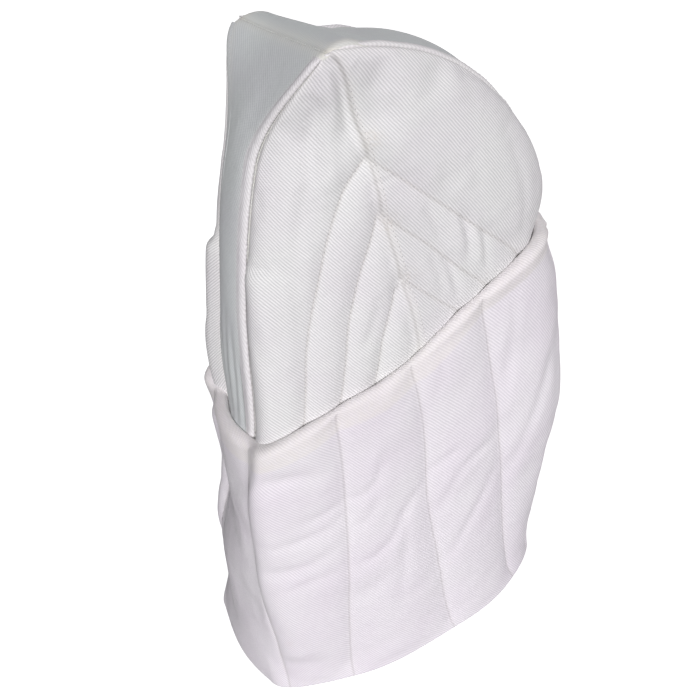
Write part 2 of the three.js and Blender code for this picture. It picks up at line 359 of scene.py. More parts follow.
# %% Quilting lines of a side panel
VEIN = [(0.985, 0.476), (0.866, 0.444), (0.793, 0.449), (0.716, 0.441), (0.622, 0.456),
        (0.498, 0.484)]
FAN_LONG = [(0.793, 0.444), (0.772, 0.376), (0.741, 0.338), (0.71, 0.306), (0.673, 0.281),
            (0.628, 0.246), (0.593, 0.228), (0.507, 0.211), (0.47, 0.205)]
FAN_MIDDLE = [(0.717, 0.436), (0.653, 0.373), (0.604, 0.338), (0.531, 0.316), (0.47, 0.3)]
FAN_SHORT = [(0.612, 0.444), (0.558, 0.406), (0.495, 0.388), (0.46, 0.38)]
CHEVRON_TOP = [(0.789, 0.449), (0.75, 0.499), (0.682, 0.571), (0.61, 0.644), (0.527, 0.739),
               (0.47, 0.79)]
CHEVRON_MIDDLE = [(0.716, 0.441), (0.645, 0.521), (0.584, 0.576), (0.521, 0.639),
                  (0.47, 0.69)]
CHEVRON_LOW = [(0.621, 0.459), (0.577, 0.506), (0.519, 0.566), (0.47, 0.61)]
FAN = {"long": FAN_LONG, "middle": FAN_MIDDLE, "short": FAN_SHORT}
CHEVRONS = {"top": CHEVRON_TOP, "middle": CHEVRON_MIDDLE, "low": CHEVRON_LOW}

# Soft folds that the stitching drags into the cloth: places, depth and half width in mm.
SIDE_FOLDS = [
    ([(0.97, 0.22), (0.891, 0.308), (0.824, 0.291), (0.776, 0.281), (0.719, 0.271)], 2.0, 6.0),
    ([(0.8, 0.262), (0.738, 0.231), (0.681, 0.221), (0.62, 0.216)], 1.6, 5.0),
    ([(0.95, 0.579), (0.922, 0.566), (0.863, 0.531), (0.815, 0.529), (0.786, 0.536)], 2.2, 7.0),
    ([(0.985, 0.42), (0.93, 0.432), (0.866, 0.425), (0.8, 0.43)], 2.4, 5.0),
    ([(0.745, 0.599), (0.715, 0.589), (0.685, 0.584)], 0.9, 5.0),
    ([(0.737, 0.669), (0.702, 0.664), (0.67, 0.654)], 0.9, 5.0),
    ([(0.7, 0.53), (0.668, 0.544), (0.635, 0.556), (0.62, 0.566)], 2.0, 3.2),
    ([(0.655, 0.607), (0.624, 0.604), (0.593, 0.602), (0.575, 0.6)], 1.8, 3.0),
    ([(0.615, 0.644), (0.582, 0.639), (0.542, 0.642)], 1.4, 3.0),
    ([(0.635, 0.52), (0.6, 0.531), (0.562, 0.536), (0.545, 0.54)], 1.4, 3.0),
    ([(0.618, 0.551), (0.58, 0.561), (0.538, 0.571)], 1.9, 3.0),
    ([(0.717, 0.802), (0.659, 0.784), (0.6, 0.772), (0.548, 0.752)], 1.6, 5.0),
    ([(0.719, 0.003), (0.716, 0.08), (0.717, 0.133)], 1.4, 3.0),
    ([(0.61, 0.405), (0.582, 0.386), (0.56, 0.362)], 1.1, 3.5),
    ([(0.759, 0.436), (0.75, 0.499)], 0.7, 1.5),
    ([(0.967, 0.371), (0.897, 0.376), (0.825, 0.351), (0.765, 0.338)], -2.2, 6.0),
    ([(0.667, 0.591), (0.633, 0.591), (0.604, 0.594)], -1.1, 3.2),
    ([(0.643, 0.632), (0.604, 0.627), (0.568, 0.627)], -1.1, 3.2),
]
# The panel stands proud just behind its front seam, from the cuff up to a short pucker.
CHEEK = [(0.72, 0.03), (0.66, 0.035), (0.58, 0.035), (0.48, 0.035)]
LEFT, RIGHT = 1, -1
CHEEK_PUFF = {LEFT: 3.2, RIGHT: 5.6}
print(len(FAN) + len(CHEVRONS) + 1, "quilting lines and", len(SIDE_FOLDS), "folds on a side")

# %% [markdown]
# ## Cloth that fills
# Wadding pushes the twill out wherever no stitch holds it. That is a job for the cloth
# simulation: a coarse copy of the sheet is pinned at its seams and stitches, given a little
# more cloth than the surface needs, and blown out from inside for twenty frames. Only its
# movement is kept, capped, and spread over the fine sheet, so seams and maps stay exact.


# %% A grid of cloth, made by bmesh
def grid_mesh(name, points):
    rows, columns = points.shape[0] - 1, points.shape[1] - 1
    bm = bmesh.new()
    bmesh.ops.create_grid(bm, x_segments=columns, y_segments=rows, size=1)
    for v in bm.verts:
        v.co = points[round((v.co.y + 1) / 2 * rows), round((v.co.x + 1) / 2 * columns)]
    mesh = bpy.data.meshes.new(name)
    bm.to_mesh(mesh)
    bm.free()
    return mesh


def finer(values, count):
    """Cubic spacing-out of rows of values to a new count."""
    t = np.linspace(0, len(values) - 1, count)
    i = np.clip(t.astype(int), 0, len(values) - 2)
    f = (t - i).reshape((-1,) + (1,) * (values.ndim - 1))
    a, b, c, d = (values[np.clip(i + k, 0, len(values) - 1)] for k in (-1, 0, 1, 2))
    return b + 0.5 * f * (c - a + f * (2 * a - 5 * b + 4 * c - d + f * (3 * (b - c) + d - a)))


def filled(points, held, outward, cap, spare, pressure=4.0, frames=20):
    """Movement in mm of a sheet of points, where held is true at the stitches."""
    mesh = grid_mesh("trial", points * MM)
    if outward < 0:
        mesh.flip_normals()
    trial = placed("trial", mesh)
    pins = trial.vertex_groups.new(name="held")
    pins.add([int(k) for k in np.nonzero(held.reshape(-1))[0]], 1.0, "REPLACE")
    cloth = trial.modifiers.new("cloth", "CLOTH")
    settings = cloth.settings
    settings.quality, settings.mass = 6, 0.15
    settings.tension_stiffness = settings.compression_stiffness = 12
    settings.shear_stiffness, settings.bending_stiffness = 6, 0.6
    settings.shrink_min = -spare
    settings.use_pressure = True
    settings.uniform_pressure_force = pressure
    settings.vertex_group_mass = "held"
    settings.effector_weights.gravity = 0
    cloth.collision_settings.use_collision = False
    cloth.collision_settings.use_self_collision = False
    for number in range(1, frames + 1):
        bpy.context.scene.frame_set(number)
    done = trial.evaluated_get(bpy.context.evaluated_depsgraph_get()).to_mesh()
    moved = np.empty(len(done.vertices) * 3)
    done.vertices.foreach_get("co", moved)
    bpy.context.scene.frame_set(1)
    bpy.data.objects.remove(trial)
    bpy.data.meshes.remove(mesh)
    move = moved.reshape(points.shape) / MM - points
    length = np.linalg.norm(move, axis=-1, keepdims=True)
    print("  filled by", round(float(length.mean()), 2), "mm, most", round(float(length.max()), 2))
    return move * np.minimum(1, cap / np.maximum(length, 1e-9))


def calmer(move):
    """Each row, then each column, takes a quarter from each of its neighbours."""
    for axis in (0, 1):
        wide = np.swapaxes(move, 0, axis)
        wide = np.concatenate([wide[:1], wide, wide[-1:]])
        move = np.swapaxes((wide[:-2] + 2 * wide[1:-1] + wide[2:]) / 4, 0, axis)
    return move


def filled_out(points, held, cap, outward, spare, calm):
    """Every second point is simulated, calmed, and the points between follow smoothly."""
    move = filled(points[::2, ::2], held[::2, ::2], outward, cap, spare)
    for _ in range(calm):
        move = calmer(move)
    move = finer(move, points.shape[0])
    return points + np.swapaxes(finer(np.swapaxes(move, 0, 1), points.shape[1]), 0, 1)


# %% A closed sandwich from two sheets of points
def grid_places(bm, rows, columns):
    """The row and column of each vertex of a new grid, kept as layers that extrusion copies."""
    row_layer, column_layer = (bm.verts.layers.int.new(k) for k in ("row", "column"))
    for v in bm.verts:
        v[row_layer] = round((v.co.y + 1) / 2 * rows)
        v[column_layer] = round((v.co.x + 1) / 2 * columns)
    return row_layer, column_layer


def laid_grid(points, chart, marks):
    """A bmesh grid with its vertices on the points, its cloth map and its marks."""
    rows, columns = points.shape[0] - 1, points.shape[1] - 1
    bm = bmesh.new()
    bmesh.ops.create_grid(bm, x_segments=columns, y_segments=rows, size=1)
    map_layer = bm.loops.layers.uv.new("cloth")
    mark_layers = {key: bm.verts.layers.float.new(key) for key in marks}
    row_layer, column_layer = grid_places(bm, rows, columns)
    for v in bm.verts:
        place = v[row_layer], v[column_layer]
        v.co = points[place] * MM
        for key, layer in mark_layers.items():
            v[layer] = marks[key][place]
    for face in bm.faces:
        face.smooth = True
        for loop in face.loops:
            loop[map_layer].uv = chart[loop.vert[row_layer], loop.vert[column_layer]]
    return bm, row_layer, column_layer


def sandwich(name, outer, inner, chart, marks, materials):
    """One closed piece: the outer sheet, and a copy of it extruded to the inner sheet."""
    bm, row_layer, column_layer = laid_grid(outer, chart, marks)
    copied = bmesh.ops.extrude_face_region(bm, geom=bm.faces[:])["geom"]
    for item in copied:
        if isinstance(item, bmesh.types.BMVert):
            item.co = inner[item[row_layer], item[column_layer]] * MM
        elif isinstance(item, bmesh.types.BMFace):
            item.material_index = len(materials) - 1
    return finished(name, bm, materials)


def closed_ring(name, points, chart, marks, materials, lined_rows=()):
    """One closed piece whose section is a loop and whose length is a loop: a padded ring."""
    bm, row_layer, _ = laid_grid(points, chart, marks)
    for face in bm.faces:
        if max(v[row_layer] for v in face.verts) in lined_rows:
            face.material_index = 1
    bmesh.ops.remove_doubles(bm, verts=bm.verts[:], dist=2e-6)
    return finished(name, bm, materials)


def finished(name, bm, materials):
    for layer in ("row", "column"):
        bm.verts.layers.int.remove(bm.verts.layers.int[layer])
    bmesh.ops.recalc_face_normals(bm, faces=bm.faces[:])
    bm.transform(Matrix.Translation((0, SHIFT * MM, 0)))
    open_edges = sum(1 for e in bm.edges if len(e.link_faces) != 2)
    volume = bm.calc_volume(signed=True) * 1e6
    mesh = bpy.data.meshes.new(name)
    bm.to_mesh(mesh)
    bm.free()
    piece = placed(name, mesh)
    for material in materials:
        mesh.materials.append(material)
    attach(piece, "root")
    print(f"{name}: {len(mesh.polygons)} faces, {open_edges} open edges, {volume:.1f} cm3")
    return piece


# %% [markdown]
# ## Twill
# Cotton twill shows fine slanting ribs, the wales, about one and a half millimetres apart,
# each broken up by the yarn that crosses it. The ribs are a sine across the cloth's own map,
# so they bend with the cloth. Colour and bump use the same ribs, a fine fuzz of fibres and a
# slow mottling. Marks on the points make the cloth creamy beside seams and faintly stained,
# darken the stitched lines with painted shade, and lay a creamy painted shade on the cuff's
# top roll under the hood's overhang.


# %% Node helpers
def new_material(name):
    material = bpy.data.materials.new(name)
    material.use_nodes = True
    return material, material.node_tree


def wire(tree, node_type, inputs=None, **settings):
    """A node with some settings; inputs are numbers, colours or other nodes' outputs."""
    node = tree.nodes.new(node_type)
    for key, value in settings.items():
        setattr(node, key, value)
    for key, value in (inputs or {}).items():
        if isinstance(value, bpy.types.NodeSocket):
            tree.links.new(value, node.inputs[key])
        else:
            node.inputs[key].default_value = value
    return node


def tone(tree, value, low, high, to_low=0.0, to_high=1.0):
    node = wire(tree, "ShaderNodeMapRange", {0: value, 1: low, 2: high, 3: to_low, 4: to_high})
    return node.outputs[0]


def sums(tree, operation, a, b=0.0):
    return wire(tree, "ShaderNodeMath", {0: a, 1: b}, operation=operation).outputs[0]


def times(tree, a, b):
    return sums(tree, "MULTIPLY", a, b)


def mark(tree, name):
    """A mark laid on the cloth's points."""
    return wire(tree, "ShaderNodeAttribute", attribute_name=name).outputs["Fac"]


def ribs(tree, where, degrees, period, wander):
    """A sine across the map, at an angle, one rib each period in metres."""
    slant = math.radians(degrees)
    across = (math.cos(slant) / period, math.sin(slant) / period, 0)
    dot = wire(tree, "ShaderNodeVectorMath", {0: where, 1: across}, operation="DOT_PRODUCT")
    bent = sums(tree, "ADD", dot.outputs["Value"], wander)
    return sums(tree, "SINE", times(tree, bent, 2 * math.pi))


def noise(tree, where, scale, detail=3.0):
    node = wire(tree, "ShaderNodeTexNoise", {"Vector": where, "Scale": scale, "Detail": detail})
    return node.outputs["Fac"]


def blend(tree, amount, a, b, how="MIX"):
    node = wire(tree, "ShaderNodeMix", data_type="RGBA", blend_type=how)
    for socket, value in ((node.inputs[0], amount), (node.inputs[6], a), (node.inputs[7], b)):
        if isinstance(value, bpy.types.NodeSocket):
            tree.links.new(value, socket)
        else:
            socket.default_value = value
    return node.outputs[2]


# %% The twill itself
WALE_PITCH, YARN_PITCH = 0.0015, 0.0008
CREAM = (0.86, 0.83, 0.72, 1)
OLD_STAIN = (0.62, 0.52, 0.40, 1)
GREY_MOTTLE, LILAC_MOTTLE = (0.93, 0.93, 0.94, 1), (0.97, 0.94, 0.975, 1)
# The second colour here darkens the stitched lines: painted shade.
LINT, STITCH_PAINTED_SHADE = (0.45, 0.42, 0.40, 1), (0.66, 0.65, 0.64, 1)


def twill_colour(tree, where, grain, sunk, light, dark):
    """Ribs light and dark, mottled, creamy and stained where marked, with a little lint; the
    stitched lines are darkened as painted shade, and the creamy mark is also painted shade on the
    cuff's top roll.
    """
    patchy, slow = noise(tree, where, 240, 4), noise(tree, where, 22, 3)
    colour = blend(tree, tone(tree, grain, -0.35, 0.75), dark, light)
    colour = blend(tree, tone(tree, patchy, 0.3, 0.7, 0, 0.35), colour, GREY_MOTTLE, "MULTIPLY")
    colour = blend(tree, tone(tree, slow, 0.35, 0.7, 0, 0.8), colour, LILAC_MOTTLE, "MULTIPLY")
    # The creamy mark is worn cream beside seams and, on the cuff's top roll, painted shade.
    cream_and_shade = times(tree, mark(tree, "cream_and_shade"), tone(tree, patchy, 0.25, 0.7, 0.45, 1.0))
    colour = blend(tree, cream_and_shade, colour, CREAM)
    worn = tone(tree, noise(tree, where, 420, 4), 0.35, 0.75)
    colour = blend(tree, times(tree, mark(tree, "stain"), worn), colour, OLD_STAIN)
    lint = tone(tree, noise(tree, where, 700, 1), 0.79, 0.84, 0, 0.55)
    colour = blend(tree, lint, colour, LINT)
    # Painted shade: the stitched lines are darkened in colour as well as sunk in the bump.
    return blend(tree, times(tree, sunk, 0.4), colour, STITCH_PAINTED_SHADE, "MULTIPLY")


def twill(name, light, dark, degrees, rib_depth=1.0):
    material, tree = new_material(name)
    shader = tree.nodes["Principled BSDF"]
    where = wire(tree, "ShaderNodeUVMap", uv_map="cloth").outputs[0]
    wander = times(tree, noise(tree, where, 60), 0.9)
    wale = times(tree, ribs(tree, where, degrees, WALE_PITCH, wander), 0.36 * rib_depth)
    yarn = times(tree, ribs(tree, where, degrees + 62, YARN_PITCH, wander), 0.12 * rib_depth)
    fuzz = times(tree, noise(tree, where, 2600, 4), 0.5)
    grain = sums(tree, "ADD", sums(tree, "ADD", wale, yarn), fuzz)

    # sunk finds the stitched lines; it sinks the bump and, in twill_colour, darkens the colour as
    # painted shade.
    in_line = tone(tree, sums(tree, "ABSOLUTE", mark(tree, "line_gap")), 0.2, 1.3, 1, 0)
    sunk = times(tree, in_line, tone(tree, mark(tree, "line_near"), 0.6, 0.85))
    crumple = sums(tree, "ADD", times(tree, noise(tree, where, 240, 4), 0.8),
                   times(tree, noise(tree, where, 110, 2), 2.0))
    height = sums(tree, "SUBTRACT", sums(tree, "ADD", grain, crumple), times(tree, sunk, 1.3))
    bump = wire(tree, "ShaderNodeBump", {"Strength": 0.7, "Distance": 0.00022,
                                         "Height": height})
    tree.links.new(bump.outputs[0], shader.inputs["Normal"])
    colour = twill_colour(tree, where, grain, sunk, light, dark)
    tree.links.new(colour, shader.inputs["Base Color"])
    shader.inputs["Roughness"].default_value = 0.92
    shader.inputs["Specular IOR Level"].default_value = 0.25
    shader.inputs["Sheen Weight"].default_value = 0.15
    shader.inputs["Sheen Roughness"].default_value = 0.5
    return material


HOOD_TWILL = twill("hood twill", (0.925, 0.932, 0.92, 1), (0.55, 0.56, 0.55, 1), 38)
# The gusset twill is the same white cloth as the side panels, made darker and greener: painted
# shade of the face side and crown, which turn away from the key lamp.
GUSSET_TWILL_PAINTED_SHADE = twill("gusset twill", (0.70, 0.74, 0.73, 1), (0.50, 0.54, 0.53, 1), 40, 0.7)
CUFF_TWILL = twill("cuff twill", (0.94, 0.92, 0.945, 1), (0.64, 0.625, 0.65, 1), 38, 0.9)
SEAM_TWILL = twill("seam twill", (0.88, 0.88, 0.885, 1), (0.66, 0.66, 0.66, 1), 30, 0.9)


# %% Plain weave for the linings
def plain_weave(name, light, dark):
    material, tree = new_material(name)
    shader = tree.nodes["Principled BSDF"]
    where = wire(tree, "ShaderNodeUVMap", uv_map="cloth").outputs[0]
    wander = times(tree, noise(tree, where, 90), 0.6)
    weave = times(tree, ribs(tree, where, 0, 0.0011, wander),
                  ribs(tree, where, 90, 0.0011, wander))
    slow = noise(tree, where, 30, 3)
    colour = blend(tree, tone(tree, weave, -1, 1), dark, light)
    colour = blend(tree, tone(tree, slow, 0.35, 0.7, 0, 0.5), colour,
                   (0.95, 0.93, 0.88, 1), "MULTIPLY")
    bump = wire(tree, "ShaderNodeBump", {"Strength": 0.5, "Distance": 0.00015, "Height": weave})
    tree.links.new(bump.outputs[0], shader.inputs["Normal"])
    tree.links.new(colour, shader.inputs["Base Color"])
    shader.inputs["Roughness"].default_value = 0.95
    shader.inputs["Specular IOR Level"].default_value = 0.2
    return material


LINING_CLOTH = plain_weave("lining cloth", (0.80, 0.77, 0.69, 1), (0.66, 0.63, 0.56, 1))
FACING_CLOTH = plain_weave("facing cloth", (0.82, 0.80, 0.76, 1), (0.70, 0.68, 0.64, 1))
print("cloths:", [m.name for m in bpy.data.materials if "cloth" in m.name or "twill" in m.name])

# %% [markdown]
# ## Side panels
# Each side panel is half of the hood above the cuff and the wall behind it. The twill is
# pulled down at the seams and along every quilting line, the back half is lapped over the
# front half along the vein, and the lining inside follows the same pinches more softly.
# Below the cuff's top nobody sees the twill, so the rows there are far apart.

# %% How a side panel's cloth is shaped
SHEETS = {}
WALL = 8.4
SIDE_COLUMNS, HIDDEN_ROWS, SHOWN_ROWS = 150, 22, 196
HIDDEN_TOP, SHOWN_TOP = 0.46, 0.992


def wall_at(high):
    """The wall thins to a hem at the rim."""
    return mix(2.6, WALL, ease(0, 0.1, high))


def sheet_places(hidden, shown, top, across):
    """Places (high, across) of a sheet: far apart behind the cuff, close together above it."""
    high = np.r_[np.linspace(0, HIDDEN_TOP, hidden, endpoint=False),
                 np.linspace(HIDDEN_TOP, top, shown + 1)]
    return np.meshgrid(high, across, indexing="ij")


def panel_curve(side, places, depth=0.0, count=48):
    line = smooth_line(places, count)
    return on_side(side, line[:, 0], line[:, 1], depth)


def seam_gap(side, base, part):
    """Distance from the panel's front seam (part 0) or back seam (part 1)."""
    return reach(base, on_side(side, np.linspace(0.3, 0.995, 90), part, 0.0))[0]


def folds_on(points, curves):
    """Soft valleys, or ridges where the depth is negative, that fade at both ends."""
    move = np.zeros(points.shape[:-1])
    for curve, depth, width in curves:
        distance, along = reach(points, curve)
        fade = np.sin(np.pi * np.clip(along, 0.02, 0.98)) ** 0.6
        move -= depth * fade * hump(distance, width)
    return move


def stitch_groove(distance, depth, width):
    """A quilting line: a sharp valley whose sides round off into the wadding."""
    return -depth * np.exp(-distance / width)


SIDE_STAINS = [((0.815, 0.47), 5, 0.35), ((0.70, 0.455), 6, 0.25), ((0.62, 0.475), 5, 0.2)]


def side_stains(base, side):
    return np.maximum.reduce([spot(base, on_side(side, *place, 0.0), width, strength)
                              for place, width, strength in SIDE_STAINS])


def vein_lap(distance, high, part):
    """The back half lies over the front half along the vein."""
    vein_part = np.interp(high, [h for h, _ in VEIN[::-1]], [p for _, p in VEIN[::-1]])
    behind = distance * np.where(part > vein_part, 1.0, -1.0)
    lap = 1.1 * ease(-1.2, 1.2, behind) * np.exp(-np.maximum(behind, 0) / 10)
    return lap - 1.2 * hump(behind + 2.6, 4.0), behind


def stitched_side(side, high, part):
    """Height in mm that the twill stands over the pattern's surface, and its marks."""
    base = on_side(side, high, part, 0.0)
    normal = outward_normals(base)
    shown = ease(0.4, 0.47, high)
    edge = np.minimum(seam_gap(side, base, 0.0), seam_gap(side, base, 1.0))
    lift = -1.3 * np.exp(-(edge / 2.0) ** 1.4) + 0.4 * hump(edge - 14, 9) * ease(0.5, 0.6, high)
    quilting = smallest(*[gap_to(base, panel_curve(side, places), normal)
                          for places in [*FAN.values(), *CHEVRONS.values()]])
    distance = np.abs(quilting)
    lift += (stitch_groove(distance, 2.7, 4.6) + 0.6 * hump(distance - 10, 6)) * shown
    vein = gap_to(base, panel_curve(side, VEIN), normal)
    lap, behind = vein_lap(np.abs(vein), high, part)
    lift += lap * shown
    lift += folds_on(base, [(panel_curve(side, places), depth, width)
                            for places, depth, width in SIDE_FOLDS]) * shown
    cheek = ease(0.45, 0.5, high) * ease(0.735, 0.70, high)
    lift += CHEEK_PUFF[side] * cheek * hump(reach(base, panel_curve(side, CHEEK))[0], 8.0)
    held = (edge < 3.0) | (distance < 1.7) | (np.abs(vein) < 2.2)
    cream_and_shade = np.maximum(0.15 * hump(edge, 3.5), 0.1 * hump(distance, 1.5))
    cream_and_shade = np.maximum(cream_and_shade, 0.16 * hump(behind - 1.0, 2.4))
    marks = {"cream_and_shade": cream_and_shade, "stain": side_stains(base, side),
             **line_marks(smallest(quilting, vein))}
    return base, lift, marks, held


def side_chart(base):
    """The panel rolled out flat in side view, each row keeping its own length."""
    middle = int(base.shape[1] * 0.46)
    chord = base[:, -1, 1:] - base[:, 0, 1:]
    chord /= np.linalg.norm(chord, axis=-1, keepdims=True)
    run = run_round(base)
    run -= run[:, middle][:, None]
    return (base[:, middle, 1:][:, None] + chord[:, None] * run[..., None]) * MM


def side_quilt(side, name):
    high, part = sheet_places(HIDDEN_ROWS, SHOWN_ROWS, SHOWN_TOP,
                              np.linspace(0, 1, SIDE_COLUMNS + 1))
    base, lift, marks, held = stitched_side(side, high, part)
    normal = outward_normals(base) * side
    outer = base + normal * lift[..., None]
    held[:HIDDEN_ROWS + 3] = True
    outer[HIDDEN_ROWS:] = filled_out(outer[HIDDEN_ROWS:], held[HIDDEN_ROWS:], cap=3.0,
                                     outward=side, spare=0.006, calm=3)
    inner = on_side(side, high, part, wall_at(high))
    inner = inner - normal * (0.35 * np.minimum(lift, 0))[..., None]
    SHEETS[side] = (high, part, outer, normal)
    return sandwich(name, outer, inner, side_chart(base), marks, [HOOD_TWILL, LINING_CLOTH])


left_side = side_quilt(LEFT, "left_side_quilt")
right_side = side_quilt(RIGHT, "right_side_quilt")
for piece, word in ((left_side, "left"), (right_side, "right")):
    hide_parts(f"{word}_front_panel", f"{word}_back_panel", f"{word}_side_wadding",
                f"{word}_side_lining")

# %% [markdown]
# ## Gusset
# One strip makes the face side up to the ears and another goes on over the crown. It is
# smooth, with no quilting, but it puffs along the crease between the ears, and gathers into
# small upright creases where the cuff presses on it. It is cut as two quilts, one each side
# of the crease.

# %% Gusset quilts
GUSSET_COLUMNS, GUSSET_HIDDEN, GUSSET_SHOWN = 56, 14, 150
GUSSET_TOP = 0.998
GUSSET_FOLDS = {
    "front": [
        ([(0.62, -0.45), (0.56, -0.5), (0.5, -0.42)], 1.2, 2.6),
        ([(0.64, 0.3), (0.57, 0.36), (0.5, 0.3)], 1.3, 2.6),
        ([(0.6, 0.62), (0.55, 0.6), (0.5, 0.66)], 1.0, 2.2),
        ([(0.66, 0.0), (0.58, -0.06), (0.5, 0.02)], 0.9, 3.0),
        ([(0.9, -0.6), (0.8, -0.2), (0.72, 0.2)], 0.7, 8.0),
        ([(0.93, 0.5), (0.85, 0.25), (0.78, -0.1)], 0.6, 7.0),
    ],
    "back": [
        ([(0.93, -0.9), (0.925, 0.0), (0.93, 0.9)], 1.6, 7.0),
        ([(0.80, -0.8), (0.79, 0.0), (0.80, 0.8)], 1.0, 7.0),
        ([(0.70, -0.8), (0.69, 0.1), (0.70, 0.8)], 0.8, 6.0),
        ([(0.62, 0.4), (0.56, 0.3), (0.5, 0.36)], 1.2, 3.0),
        ([(0.61, -0.4), (0.55, -0.3), (0.5, -0.4)], 1.2, 3.0),
    ],
}


def gusset_curve(line, places, depth=0.0, count=40):
    path = smooth_line(places, count)
    return on_gusset(line, path[:, 0], path[:, 1], depth)


def stitched_gusset(line, word, high, across):
    base = on_gusset(line, high, across, 0.0)
    span = half_width(line, high)
    edge = span * (1 - np.abs(across))
    crease = np.linalg.norm(base - on_gusset(line, GUSSET_TOP, across, 0.0), axis=-1)
    lift = -1.8 * np.exp(-(edge / 1.6) ** 1.4)
    lift += -1.6 * np.exp(-(crease / 2.2) ** 1.4)
    if line is BACK:
        lift += 2.6 * hump(crease - 12, 9)
    lift += folds_on(base, [(gusset_curve(line, places), depth, width)
                            for places, depth, width in GUSSET_FOLDS[word]]) * ease(0.4, 0.47, high)
    cream_and_shade = 0.5 * hump(edge, 5) + 0.3 * hump(crease, 4)
    return base, lift, cream_and_shade, (edge < 9.0) | (crease < 2.5)


def gusset_quilt(line, word, name):
    sign = 1 if line is FRONT else -1
    high, across = sheet_places(GUSSET_HIDDEN, GUSSET_SHOWN, GUSSET_TOP,
                                np.linspace(-1, 1, GUSSET_COLUMNS + 1))
    base, lift, cream_and_shade, held = stitched_gusset(line, word, high, across)
    normal = outward_normals(base) * sign
    outer = base + normal * lift[..., None]
    held[:GUSSET_HIDDEN + 3] = True
    outer[GUSSET_HIDDEN:] = filled_out(outer[GUSSET_HIDDEN:], held[GUSSET_HIDDEN:],
                                       cap=2.0, outward=sign, spare=0.0, calm=6)
    inner = on_gusset(line, high, across, wall_at(high))
    rise = run_along(base[:, GUSSET_COLUMNS // 2])
    rise = np.repeat(rise[:, None], GUSSET_COLUMNS + 1, 1)
    chart = np.stack([base[..., 0], rise], -1) * MM
    # The gusset quilts wear the darker, greener gusset twill, which is painted shade.
    return sandwich(name, outer, inner, chart, {"cream_and_shade": cream_and_shade, "stain": 0 * cream_and_shade},
                    [GUSSET_TWILL_PAINTED_SHADE, LINING_CLOTH])


front_gusset = gusset_quilt(FRONT, "front", "front_gusset_quilt")
crown_gusset = gusset_quilt(BACK, "back", "crown_gusset_quilt")
for piece, word in ((front_gusset, "front"), (crown_gusset, "crown")):
    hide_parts(f"{word}_gusset", f"{word}_gusset_wadding", f"{word}_gusset_lining")

# %% [markdown]
# ## Seam rolls
# Where a side panel meets the gusset, the trimmed edges of both quilts lie folded under the
# gusset and make it stand up in a roll beside the seam. The stitching draws fine ribs across
# it. Each roll is a thin sandwich whose top is a rounded ridge that runs out flat into the
# gusset.

# %% Four seam rolls
ROLL_WIDTH, PUCKER = 7.0, 3.1
ROLL_HEIGHTS = {"left_front": 1.3, "left_crown": 1.4, "right_front": 0.3, "right_crown": 1.4}
rng = np.random.default_rng(11)


def seam_roll(line, side, name):
    high, s = np.meshgrid(np.linspace(0.47, 0.986, 260), np.linspace(0, 1, 15), indexing="ij")
    span = half_width(line, high)
    x = span - 0.4 - ROLL_WIDTH * (1 - s)
    rounded = np.where(s < 0.68, ease(0, 0.68, s),
                       np.sqrt(np.clip(1 - ((s - 0.68) / 0.33) ** 2, 0, 1)))
    seam_run = run_along(on_gusset(line, high[:, 0], 1.0, 0.0))[:, None]
    wander = np.interp(seam_run, np.arange(0, 420, 6.0), rng.normal(0, 1, 70))
    puckers = np.sin(seam_run * 2 * np.pi / PUCKER + 1.4 * wander + 1.6 * s)
    tall = ROLL_HEIGHTS[name.split("_seam")[0]]
    height = rounded * (tall * (1 + 0.1 * wander) + 0.1 * puckers * ease(0, 0.5, s))
    height *= ease(0.986, 0.97, high) * 0.55 + 0.45
    top = on_gusset(line, high, side * x / span, 0.0)
    sign = 1 if line is FRONT else -1
    normal = outward_normals(top) * sign * side
    outer = top + normal * (height - 0.25)[..., None]
    inner = top - normal * 1.6
    chart = np.stack([x, np.broadcast_to(seam_run, x.shape)], -1) * MM
    cream_and_shade = 0.04 + 0.1 * ease(0.6, 1, s)
    # The far front ridge wears the darker gusset twill: painted shade that keeps it from catching
    # light.
    cloth = GUSSET_TWILL_PAINTED_SHADE if name == "right_front_seam_ridge" else SEAM_TWILL
    piece = sandwich(name, outer, inner, chart, {"cream_and_shade": cream_and_shade, "stain": 0 * cream_and_shade}, [cloth])
    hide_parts(name.replace("_ridge", "_roll"))
    return piece


for side, word in ((LEFT, "left"), (RIGHT, "right")):
    seam_roll(FRONT, side, f"{word}_front_seam_ridge")
    seam_roll(BACK, side, f"{word}_crown_seam_ridge")

# %% [markdown]
# ## Cuff
# The cuff is one padded ring: a cover outside, wadding, and a facing against the hood. Its
# top edge is a fat soft roll with no stitching to be seen; its lower edge is pressed thin
# into the hem. Quilting lines run from the roll to the hem, and the cloth between them hangs
# in long slanting folds. The section is a loop, the ring is a loop, so it is a grid joined
# to itself both ways.

# %% Where the cuff's columns and rows stand
SIDE_SHARE, FRONT_SHARE, BACK_SHARE = 126, 38, 34
FACING_ROWS, ROLL_ROWS, COVER_ROWS, FOOT_ROWS = 30, 14, 118, 3
FACE_DEPTH, COVER_DEPTH = -0.5, -8.9
TOP_LINE = ([-0.001, 0.015, 0.21, 0.31, 0.39, 0.48, 0.57, 0.64, 0.74, 0.89, 1.001],
            [0.5, 0.505, 0.507, 0.506, 0.495, 0.498, 0.515, 0.518, 0.518, 0.506, 0.5])
# The left side's quilting lines, then folds, as (high, part) on the cover.
CUFF_QUILTING = [
    [(0.52, 0.0), (0.43, 0.0), (0.34, 0.001), (0.27, 0.008), (0.22, 0.048), (0.17, 0.085),
     (0.05, 0.113), (0.0, 0.12)],
    [(0.52, 0.298), (0.43, 0.298), (0.35, 0.301), (0.21, 0.303), (0.0, 0.303)],
    [(0.52, 0.45), (0.426, 0.466), (0.31, 0.469), (0.196, 0.499), (0.02, 0.536), (0.0, 0.54)],
    [(0.53, 0.6), (0.44, 0.612), (0.329, 0.624), (0.159, 0.677), (0.0, 0.755)],
    [(0.52, 0.93), (0.4, 0.93), (0.2, 0.90), (0.0, 0.88)],
]
